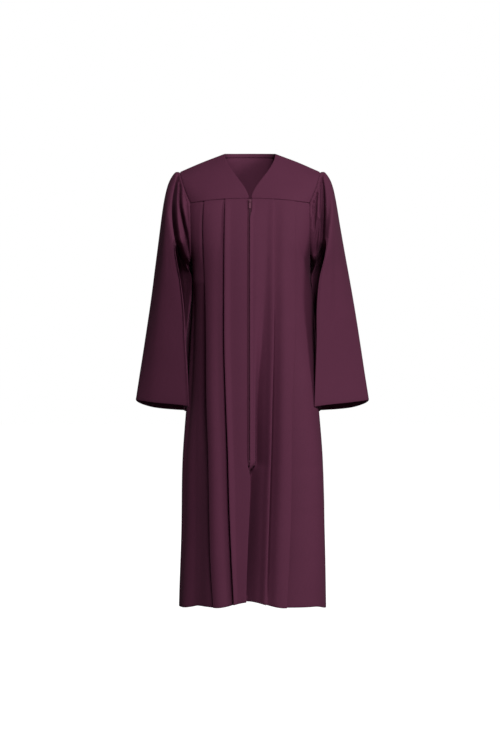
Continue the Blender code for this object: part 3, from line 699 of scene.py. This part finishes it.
def half_across(side, level):
    """The cloth's middle from the centre to the armhole or side seam, at one level of a half panel."""
    back = side == "back"
    top_pull = ease((level - ARMPIT) / (YOKE_CENTRE - ARMPIT))
    hem_pull = ease((HEM_PULL - level) / (HEM_PULL - HEM_CENTRE))

    def height_at(x):
        seam = (yoke_seam(x, back) - YOKE_CENTRE) * top_pull
        return level + seam + (hem_line(x, back) - HEM_CENTRE) * hem_pull

    middle = height_at(PLEATS[side][0].outer)
    outer, inner, depth, spread, roll, valley, lowest = (
        size_at(PLEATS[side], column, middle) for column in Pleat._fields[1:]
    )
    edge, tuck, lip = 0.0, 0.0, 0.0
    if not back:
        edge, tuck, lip = (size_at(EDGES[side], column, level) for column in Edge._fields[1:])
    loose = ease((YOKE_CENTRE - level) / 0.030)
    radius = SEWN_RADIUS + (FOLD_RADIUS - SEWN_RADIUS) * loose
    high, low = 2 * radius + 0.3 * spread, -2 * radius - 0.3 * spread
    outer_high = high - roll
    outer_low = min(low, outer_high - 4 * radius)
    below = max(YOKE_CENTRE - level, 0.0)
    above = max(level - YOKE_CENTRE, 0.0)
    dip = (TUCK_DEPTH + 2 * SEWN_RADIUS) * max(1 - below / SEAM_ROLL, 0.0) ** 2 + above * 0.35
    start = edge + TURN_RADIUS
    start_of_pleat = inner + BELOW_EDGE
    flat = 0.0 if back else TAPE_COVER * ease((level - ZIP_END) / 0.020)

    def middle_face(x):
        """How far the cloth stands off the body's ring between its edge and the inner pleat."""
        part = min(max((x - start) / (inner - radius - start), 0.0), 1.0)
        sink_part = max((x - start - flat) / (inner - radius - start - flat), 0.0)
        sink = ease(sink_part / lowest) if sink_part < lowest else bank((sink_part - lowest) / (1 - lowest))
        offset = lip * (1 - ease((x - start) / LIP_BREADTH)) - tuck * bank(part) - valley * sink
        return offset + high * ease((part - 0.72) / 0.28) - sunk(CREASES[side], 0, x, height_at(x))

    def pleat_face(x):
        """The same between the two pleats."""
        part = min(max((x - start_of_pleat) / (outer - radius - start_of_pleat), 0.0), 1.0)
        rise = math.sin(math.pi / 2 * part)
        rolled = roll * max((part - 0.4) / 0.6, 0.0) ** 3
        return low + (high - low) * rise - rolled - sunk(CREASES[side], 1, x, height_at(x)) * (1 - part**6)

    path = []
    if not back:
        path += [(edge + x, middle_face(edge + x) - 2 * TURN_RADIUS) for x in (0.012, 0.009, 0.006, 0.003)]
        turn_middle = middle_face(start) - TURN_RADIUS
        path += round_turn(start, turn_middle, TURN_RADIUS, 270, 90)
    else:
        path.append((0.0, middle_face(0.0)))
    for k in range(1, 24):
        x = start + (inner - radius - start) * (k / 24) ** 1.25
        path.append((x, middle_face(x)))
    path += knife_pleat(inner, depth, high, low, 0.7 * spread, radius, middle_face)
    for k in range(24):
        x = start_of_pleat + (outer - radius - start_of_pleat) * (k / 24) ** 1.4
        path.append((x, pleat_face(x)))
    path += knife_pleat(outer, depth, outer_high, outer_low, 0.7 * spread + roll, radius, pleat_face)

    points = []
    for x, offset in path:
        height = height_at(abs(x))
        point = off_ring(height, ring_angle(height, abs(x)), offset - dip, back)
        point.x = math.copysign(point.x, x)
        points.append(point)
    edge_height = height_at(CHEST_WIDTH)
    begin = ring_angle(edge_height, outer + BELOW_EDGE)
    end = ring_angle(edge_height, CHEST_WIDTH) if edge_height > ARMPIT + 1e-6 else math.pi / 2
    hump = 0.6 * (valley + tuck) + 0.2 * spread
    for k in range(31):
        share = (k / 30) ** 1.2
        angle = begin + (end - begin) * share
        x = ring_point(edge_height, angle, back).x
        height = height_at(x)
        offset = outer_low * (1 - ease(share / 0.8)) + hump * math.sin(math.pi * share) * (1 - share)
        offset -= sunk(CREASES[side], 2, x, height) * (1 - ease((share - 0.82) / 0.18))
        points.append(off_ring(height, angle, offset - dip, back))
    return points


hem_lines = []  # where the hems and cuffs are stitched, and the way the cloth faces there


def hemmed(rows, side, rows_in):
    """The rows turned in at the last one, with the place of its stitches kept."""
    level = len(rows) - 2
    hem_lines.append([
        (point, outward(rows, level, column, side)) for column, point in enumerate(rows[level])
    ])
    return turned_in(rows, side, rows_in)


def panel_levels():
    """The heights of a panel's rows, which are close together at its seam."""
    close = (ALLOWANCE, 0.002, 0.0, -0.0007, -0.0015, -0.0025, -0.0037, -0.0051)
    top = [YOKE_CENTRE + step for step in close]
    return top + [YOKE_CENTRE + (HEM_CENTRE - YOKE_CENTRE) * k / LEVELS for k in range(1, LEVELS + 1)]


def front_panels():
    for name, side in (("left", 1), ("right", -1)):
        rows = [[hung(point, side) for point in half_across(name, level)] for level in panel_levels()]
        rows = hemmed(turned(sewn_last(turned(rows), -side)), side, 2)
        piece = cloth_sheet(f"front_panel_{name}", rows, side, cloth)
        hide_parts(f"panel_front_{name}")


front_panels()


def back_panel():
    rows = []
    for level in panel_levels():
        half = half_across("back", level)
        right = [hung(point, -1) for point in reversed(half)]
        rows.append(right + [hung(point, 1) for point in half[1:]])
    rows = hemmed(turned(sewn_last(sewn(turned(rows), 1), 1)), -1, 2)
    piece = cloth_sheet("back_panel", rows, -1, cloth)
    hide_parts("panel_back")


back_panel()

# ------------------------ sleeves
# The wide bell sleeves are each one piece of the same twill, closed by a seam under the arm. Their heads are
# gathered into the armholes, so that small flutes run down from the seam and join into a few deep folds.
HEAD_STAND = 0.012  # how far the gathered head stands out beyond its seam
GATHER_START = 0.009  # from the seam down to where the gathers and folds have their full depth
GATHER_FADE = 0.008  # from the seam down to where a gather begins to fade
BACK_CUFF_DROP = 0.016  # how much longer the back of a sleeve is than its front
SEAM_GAP = 0.0003  # from the panels' edges out to the sleeve's
ALLOWANCE_LOW = 0.0050  # the sleeve's own allowance, as it lies in towards the body
ALLOWANCE_HIGH = 0.0008  # the same behind the shoulder, where it lies along the back yoke
BODY_GAP = 0.0035  # between the body and the sleeve's inner cloth
SleeveRing = namedtuple(
    "SleeveRing", "outer_x outer_y outer_z left_fold right_fold fold_y inner_z back_x back_y"
)
SLEEVE = table(SleeveRing, (  # the pressed outer line, the front folds, the inner line and the back line
    (207, 3, -72, 182, 180, -86, -290, 174, 88),
    (218, 2, -114, 189, 190, -95, -303, 176, 96),
    (230, 2, -190, 184, 188, -98, -326, 170, 100),
    (243, 3, -275, 168.5, 179, -97, -365, 166, 103),
    (257, 5, -365, 160.5, 171.5, -95, -425, 164, 106),
    (271, 7, -455, 160, 168, -93, -495, 164, 109),
    (285, 9, -545, 158.5, 162.5, -91, -575, 164, 112),
    (297.5, 10, -626, 157, 158, -90, -655, 166, 115),
))
FRONT_STEPS = 5                # stations between the named lines of a sleeve ring
SIDE_STEPS = 4
HALF_STEPS = 2 * FRONT_STEPS + SIDE_STEPS
TIMES = 9                      # columns of cloth between two stations
ROWS_BETWEEN = (6, 26, 26, 20, 16, 14, 14, 12, 12)  # rows of cloth between two rings, from the head down

# short puckers where the head is gathered into the seam, from the shoulder tip down to the underarm: how
# far down the armhole, how broad as a share of it, how deep, and how far down the sleeve they reach
Gather = namedtuple("Gather", "share width depth reach")
GATHERS = {
    ("left", "front"): table(Gather, (
        (0.057, 0.0093, 4, 16), (0.102, 0.0085, 4.7, 14), (0.147, 0.0093, 4.3, 18),
        (0.188, 0.0076, 4.7, 14), (0.231, 0.0085, 4.3, 16), (0.278, 0.0085, 5, 14), (0.322, 0.0093, 4, 18),
        (0.367, 0.0076, 4.3, 14), (0.42, 0.0085, 2.5, 16),
    )),
    ("left", "back"): table(Gather, (
        (0.048, 0.01, 2, 14), (0.094, 0.011, 2.4, 16), (0.139, 0.009, 2.2, 12), (0.18, 0.011, 2.6, 14),
        (0.229, 0.01, 2, 16), (0.27, 0.011, 2.4, 12), (0.318, 0.009, 2.2, 14), (0.372, 0.011, 2, 12),
    )),
    ("right", "front"): table(Gather, (
        (0.05, 0.01, 1.8, 12), (0.092, 0.011, 2.2, 14), (0.14, 0.01, 2, 12), (0.196, 0.011, 2.4, 14),
        (0.244, 0.01, 2, 12), (0.292, 0.011, 2.2, 16), (0.345, 0.01, 1.8, 12), (0.41, 0.011, 1.2, 14),
    )),
    ("right", "back"): table(Gather, (
        (0.054, 0.011, 2.2, 12), (0.098, 0.01, 2.4, 16), (0.15, 0.011, 2, 14), (0.191, 0.009, 2.6, 12),
        (0.238, 0.011, 2.2, 16), (0.288, 0.01, 2.4, 12), (0.335, 0.011, 2, 14),
    )),
}
# the flutes and deep folds that hang from the gathered head, on the front (0) or the back (1)
SLEEVE_FOLDS = {
    "left": table(Crease, (
        (0, ((182, -50), (185.5, -85), (186.5, -120), (185.5, -165), (183, -205), (179.5, -245),
             (172, -286), (164, -330)), 6, 2.6, 30, 1.4),
        (0, ((177.5, -56), (179, -90), (178, -130), (175.5, -165)), 2.6, 2.2, 10, 1.2),
        (0, ((169, -80), (168, -110), (165, -150), (161, -200)), 2.4, 2, 10, 1.2),
        (0, ((163, -98), (160, -128), (157, -165)), 2, 1.8, 8, 1.2),
        (0, ((156, -120), (154.5, -150), (153, -190)), 1.6, 1.4, 3.5, 1.2),
        (0, ((174, -170), (169, -215), (162, -262)), 5, 3, 10, 1.2),
        (0, ((198, -66), (200, -110), (199.5, -170)), 4.5, 4.5, 2, 1.4),
        (0, ((208, -100), (205, -180), (201, -290), (196, -420)), 6, 6, -2.2, 1.3),
        (1, ((186, -56), (193, -110), (190, -210), (180, -430)), 4.5, 4.5, 20, 1.6),
        (1, ((176, -66), (177, -120), (173, -200)), 2.6, 2.6, 8, 1.3),
        (1, ((164, -96), (162, -150), (157, -230)), 2.6, 2.6, 7, 1.3),
        (1, ((216, -90), (226, -300), (240, -560)), 12, 14, 5),
    )),
    "right": table(Crease, (
        (0, ((183, -50), (187.5, -80), (190.5, -102), (193, -135), (192, -173), (188, -210),
             (181.5, -248), (173.5, -286), (169, -305)), 5, 2, 60, 1.5),
        (0, ((175.5, -60), (177, -80), (176.8, -100), (175, -135), (168, -173), (160.5, -210),
             (155, -248), (152, -290)), 3.2, 2.8, 36, 1.4),
        (0, ((169, -78), (166, -100), (162, -126)), 1.6, 1.6, 5, 1),
        (0, ((160, -118), (157.5, -150), (155, -200)), 2, 1.8, 7, 1.1),
        (0, ((202, -64), (206, -110), (206, -180)), 4.5, 4.5, 1.8, 1.4),
        (0, ((214, -110), (216, -200), (218, -340)), 5, 5, -1.2, 1.4),
        (1, ((185, -56), (192, -100), (189, -220), (178, -450)), 5, 4.5, 22, 1.6),
        (1, ((175, -70), (174.5, -120), (170, -210)), 2.6, 2.6, 9, 1.3),
        (1, ((163, -100), (160, -160), (155, -240)), 2.4, 2.4, 6, 1.3),
        (1, ((218, -90), (224, -300), (238, -560)), 14, 12, 5),
    )),
}


def armhole_side(back):
    """The armhole from the shoulder tip to the armpit."""
    top = armhole_top(back)
    side = [along(top, index / 12) for index in range(13)]
    start = yoke_seam(CHEST_WIDTH, back)
    for index in range(1, 16):
        height = start + (ARMPIT - start) * index / 16
        side.append(ring_point(height, ring_angle(height, CHEST_WIDTH), back))
        side[-1].x = CHEST_WIDTH
    return side + [Vector((size_at(BODY, "half_width", ARMPIT), 0.0, ARMPIT))]


def spaced(points, count):
    """Points evenly along a line."""
    lengths = gone(points)
    found = []
    for step in range(count + 1):
        want = lengths[-1] * step / count
        index = next(k for k in range(len(points) - 1) if want <= lengths[k + 1] + 1e-9)
        span = lengths[index + 1] - lengths[index]
        found.append(points[index].lerp(points[index + 1], (want - lengths[index]) / span))
    return found


def armhole_loop():
    """The sleeve's sewn edge: down the front from the shoulder tip, and up the back."""
    loop = spaced(armhole_side(back=False), HALF_STEPS)
    loop += spaced(armhole_side(back=True), HALF_STEPS)[-2:0:-1]
    for index, point in enumerate(loop):
        share = min(index, len(loop) - index) / HALF_STEPS
        leaning = 0.3 + 0.5 * ease((share - 0.2) / 0.15) + ease((share - 0.7) / 0.3)
        point.x += SEAM_GAP + 0.0010 * leaning
    return loop


def head_ring(first):
    """The ring just outside the seam, where the gathers round the sleeve out."""
    ring = []
    for index, point in enumerate(first):
        share = min(index, len(first) - index) / HALF_STEPS
        low = ease((share - 0.55) / 0.45)
        out = HEAD_STAND * (1 - 0.6 * low)
        ring.append(Vector((point.x + out, point.y * (1.05 + 0.10 * low), point.z - 0.001 - 0.007 * low)))
    return ring


def ring_loop(ring, index, first, name):
    """One ring of a sleeve, at the same stations as its sewn edge."""
    beside = size_at(BODY, "half_width", ring.inner_z)
    fold_x = ring.left_fold if name == "left" else ring.right_fold
    crisp = ease((index - 1) / 3)
    outer = Vector((ring.outer_x, ring.outer_y, 0))
    fold = Vector((fold_x, ring.fold_y, 0))
    back = Vector((ring.back_x, ring.back_y, 0))
    parted = crisp * (1 - ease((index - 5) / 3))
    lie = 0.34 if name == "right" else 0.51
    wall = max(fold_x, beside) + BODY_GAP

    def placed(share, x, y):
        """A place of the underarm cloth: along the plain line above, then where it hangs below."""
        plain = Vector((beside + BODY_GAP, 0, 0))
        return fold.lerp(plain, share).lerp(Vector((x, y, 0)), crisp)

    hollow = placed(0.25, wall + 0.0040 * parted, -0.055 + 0.100 * parted)
    ridge = placed(0.75, wall + (beside + 0.0042 - wall) * parted, -0.005)
    inner = placed(1.0, wall + (beside + 0.0030 - wall) * parted, 0.025)
    near_back = Vector((beside - 0.0060, 0.062, 0)).lerp(Vector((beside - 0.0070, 0.080, 0)), crisp)

    def rounded(edge):
        """The place where the cloth turns from the outer line into the flatter front or back."""
        across = outer.x - edge.x
        away = max(abs(edge.y) - lie * max(across, 0.0), 0.32 * abs(edge.y))
        return Vector((outer.x - 0.3 * across, math.copysign(away, edge.y), 0))

    nodes = [outer, rounded(fold), fold, hollow, ridge, inner, near_back, back, rounded(back)]
    steps = [FRONT_STEPS, FRONT_STEPS, 1, 2, 1, 2, 2, FRONT_STEPS, FRONT_STEPS]
    edge = 0.15 if name == "right" else 1.10
    soft = [1 - 0.5 * crisp, 1.0, 1 + (edge - 1) * crisp, 0.4, 0.2, 1.0, 1.0, 1 - 0.5 * crisp, 1.0]
    loop = []
    for k, count in enumerate(steps):
        before, start = nodes[k - 1], nodes[k]
        end, after = nodes[(k + 1) % 9], nodes[(k + 2) % 9]
        for step in range(count):
            loop.append(bent(before, start, end, after, step / count, soft[k], soft[(k + 1) % 9]))
    low = ease((index - 3) / 5)
    flat = ease(index / 5)
    for k, point in enumerate(loop):
        share = min(k, len(loop) - k) / HALF_STEPS
        follow = (first[k].z - first[0].z) / (first[HALF_STEPS].z - first[0].z)
        drop = follow * (1 - flat) + share**1.7 * flat
        point.z = ring.outer_z + (ring.inner_z - ring.outer_z) * drop
        if k > HALF_STEPS:
            point.z -= BACK_CUFF_DROP * low * math.sin(math.pi * share)
    return loop


def spanned(points, steps):
    """A smooth line through points, with so many steps between each two."""
    lengths = [(after - before).length for before, after in zip(points, points[1:])]
    slopes = []
    for k in range(len(points)):
        before, after = max(k - 1, 0), min(k + 1, len(points) - 1)
        slopes.append((points[after] - points[before]) / sum(lengths[before:after]))
    line = []
    for k, count in enumerate(steps):
        slope_in, slope_out = lengths[k] * slopes[k], lengths[k] * slopes[k + 1]
        line += [curve(points[k], slope_in, points[k + 1], slope_out, step / count) for step in range(count)]
    return line + [points[-1]]


def sleeve_rows(name):
    """A sleeve before its folds, on the left: rows round it from the seam under the arm, back first."""
    first = armhole_loop()
    rings = [first, head_ring(first)]
    rings += [ring_loop(ring, index + 2, first, name) for index, ring in enumerate(SLEEVE)]
    opened = [ring[HALF_STEPS:] + ring[:HALF_STEPS + 1] for ring in rings]
    return turned([spanned(column, ROWS_BETWEEN) for column in turned(finer(opened, TIMES))])


def tucked(seam):
    """The sewn edge, turned in behind the yoke and the panels, with a little of its allowance."""
    middle = sum(seam, Vector()) / len(seam)
    inward = [(Vector((point.x - 0.03, middle.y, middle.z)) - point).normalized() for point in seam]
    half = (len(seam) - 1) / 2
    last = []
    for column, (point, way) in enumerate(zip(seam, inward)):
        high = ease((column / half - 0.50) / 0.25) * (1 - ease((column / half - 1.0) / 0.10))
        depth = ALLOWANCE_LOW + (ALLOWANCE_HIGH - ALLOWANCE_LOW) * high
        last.append(point + way * depth - Vector((0.0030 + 0.0070 * high, 0, 0)))
    return [last, [point + way * TUCK_DEPTH for point, way in zip(seam, inward)]]


def sleeves():
    """Both sleeves with their gathers and folds, which slant outwards by their lean."""
    for name, side, lean in (("left", 1, 0.0), ("right", -1, 0.14)):
        base = sleeve_rows(name)
        falls = turned([gone(column) for column in turned(base)])
        half = (len(base[0]) - 1) / 2

        def gathered(point, level, column):
            front = column >= half
            share = column / half - 1 if front else 1 - column / half
            fall = falls[level][column]
            depth = faint(point, 30.0 + side)
            for gather in GATHERS[name, "front" if front else "back"]:
                if fall < gather.reach:
                    fade = 1 - ease((fall - GATHER_FADE) / (gather.reach - GATHER_FADE))
                    length = (0.45 + 0.55 * ease(fall / GATHER_START)) * fade
                    width = gather.width * (1 + 0.8 * fall / gather.reach)
                    depth += gather.depth * length * math.exp(-(((share - gather.share) / width) ** 2))
            return depth

        rows = eased(base, -1, gathered)
        for level, row in enumerate(rows):
            for column, point in enumerate(row):
                front = column >= half
                depth = sunk(SLEEVE_FOLDS[name], 0 if front else 1, base[level][column].x, point.z)
                room = ease((0.03 - abs(point.y) * (-1 if front == (point.y < 0) else 1)) / 0.08)
                depth *= room * ease(falls[level][column] / GATHER_START)
                point.y += depth * (1 if front else -1)
                point.x += lean * depth if front else 0.0
        rows = tucked(base[0]) + rows[1:]
        rows = [[hung(point, side) for point in row] for row in rows]
        rows = hemmed(rows, -side, 3)
        piece = cloth_sheet(f"bell_sleeve_{name}", rows, -side, cloth, joined=True)
        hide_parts(f"sleeve_{name}")


sleeves()

# ------------------------ stitches
# The hem and the two cuffs are turned up once and held by a single row of lockstitch in matching polyester
# thread, seven millimetres above the pressed edge.
STITCH_LENGTH = 0.0025
STITCH_PITCH = 0.0033
THREAD = 0.00036  # breadth of the sewing thread


def sewing_thread():
    material, tree, shader = finish("sewing_thread", {"Roughness": 0.55, "Specular IOR Level": 0.25})
    place = node(tree, "TexCoord")
    twist = node(tree, "TexWave", {"Scale": 1400.0, "Distortion": 1.5}, bands_direction="DIAGONAL")
    shade = scaled(tree, 0.35, 0.80)
    wire(tree, (place, "Object", twist, "Vector"), (twist, "Fac", shade, 0))
    tinted(tree, shader, (0.118, 0.031, 0.060), (shade, 0), (twist, "Fac"), 0.5, 0.00006)
    return material


def small_part(name, parts, rounding, material, slot):
    """Many small rounded blocks as one piece: each part is its matrix, sized and placed."""
    blocks = bmesh.new()
    for matrix in parts:
        bmesh.ops.create_cube(blocks, size=1.0, matrix=matrix)
    bmesh.ops.bevel(blocks, geom=blocks.edges[:], offset=rounding, segments=1, affect="EDGES")
    return piece_of(name, blocks, material, slot)


def stitches():
    parts = []
    for line in hem_lines:
        gone, due = 0.0, STITCH_PITCH / 2
        for (here, out), (there, _) in zip(line, line[1:]):
            way = there - here
            length = way.length
            while due <= gone + length:
                place = here.lerp(there, (due - gone) / length) + out * (CLOTH / 2 + THREAD / 4)
                way = way.normalized()
                turn = Matrix((way, out.cross(way).normalized(), out)).transposed().to_4x4()
                shape = Matrix.Diagonal((STITCH_LENGTH, THREAD, THREAD, 1))
                parts.append(Matrix.Translation(place) @ turn @ shape)
                due += STITCH_PITCH
            gone += length
    small_part("hem_and_cuff_stitches", parts, 0.00011, sewing_thread(), "robe_cloth")


stitches()

# ------------------------ zip
# A coil zip closes the front: two woven tapes sewn behind the panels' turned edges, a nylon coil whose small
# loops mesh along the middle, and a lacquered metal slider, pull tab and bottom stop, all dyed to match.
PITCH = 0.0013  # from one loop of the coil to the next on the same tape
LOOP_REACH = 0.0022  # from the middle of the zip to a loop's outer end
LOOP_OVERLAP = 0.0005  # how far the loops' heads cross the middle
LOOP_THICK = 0.00078
LOOP_DEEP = 0.0017
COIL_SETBACK = 0.0001  # from the panels' middle back to the coil's


def zip_tape_weave():
    """Narrow woven tape with fine ribs along it."""
    material, tree, shader = finish("zip_tape_weave", {"Roughness": 0.8, "Specular IOR Level": 0.12})
    place, parts, grain = (node(tree, kind) for kind in ("TexCoord", "SeparateXYZ", "CombineXYZ"))
    weave = node(tree, "Group", {"Rib Width": 0.0007}, node_tree=bpy.data.node_groups["twill_weave"])
    shade = scaled(tree, 0.30, 0.80)
    wire(tree, (place, "Object", parts, 0), (parts, "X", grain, "X"), (parts, "Z", grain, "Y"),
         (grain, 0, weave, "Grain"), (weave, "Ribs", shade, 0))
    tinted(tree, shader, (0.088, 0.021, 0.045), (shade, 0), (weave, "Ribs"), 0.5, 0.00012)
    return material


def smooth_finish(name, colour, roughness, coat, grain_size, unevenness):
    """A smooth finish whose colour, gloss and surface vary a little, for nylon and for lacquer."""
    material, tree, shader = finish(name, {
        "Coat Weight": coat, "Coat Roughness": 0.18, "Specular IOR Level": 0.4,
    })
    place = node(tree, "TexCoord")
    mottle = node(tree, "TexNoise", {"Scale": 1 / grain_size, "Detail": 3.0})
    shade = scaled(tree, unevenness, 1 - unevenness / 2)
    gloss = scaled(tree, 0.14, roughness - 0.07)
    wire(tree, (place, "Object", mottle, "Vector"), (mottle, "Fac", shade, 0), (mottle, "Fac", gloss, 0),
         (gloss, 0, shader, "Roughness"))
    tinted(tree, shader, colour, (shade, 0), (mottle, "Fac"), 0.2, 0.00003)
    return material


def coil_loops():
    """The coil's loops, left and right by turns, from the slider down to the bottom stop."""
    low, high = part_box("zip_coil")
    count = int((high[2] - low[2] - PITCH) / PITCH)
    parts = []
    for k in range(2 * count):
        side = 1 if k % 2 else -1
        height = high[2] - PITCH / 2 - k * PITCH / 2
        place = off_ring(height, 0.0, -COIL_SETBACK, back=False)
        place.x = side * (LOOP_REACH - LOOP_OVERLAP) / 2
        shape = Matrix.Diagonal((LOOP_REACH + LOOP_OVERLAP, LOOP_DEEP, LOOP_THICK, 1))
        parts.append(Matrix.Translation(place) @ shape)
    return parts


tape_weave = zip_tape_weave()
nylon = smooth_finish("zip_nylon", (0.092, 0.022, 0.046), 0.60, 0.0, 0.004, 0.25)
lacquer = smooth_finish("zip_lacquer", (0.120, 0.030, 0.060), 0.34, 0.6, 0.003, 0.20)
coil = small_part("zip_coil_loops", coil_loops(), 0.00020, nylon, "zip_coil")
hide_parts("zip_coil")
for name in ("zip_tape_left", "zip_tape_right"):
    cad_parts[name].material_slots[0].material = tape_weave
for name in ("zip_slider", "zip_pull_tab", "zip_bottom_stop"):
    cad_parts[name].material_slots[0].material = lacquer
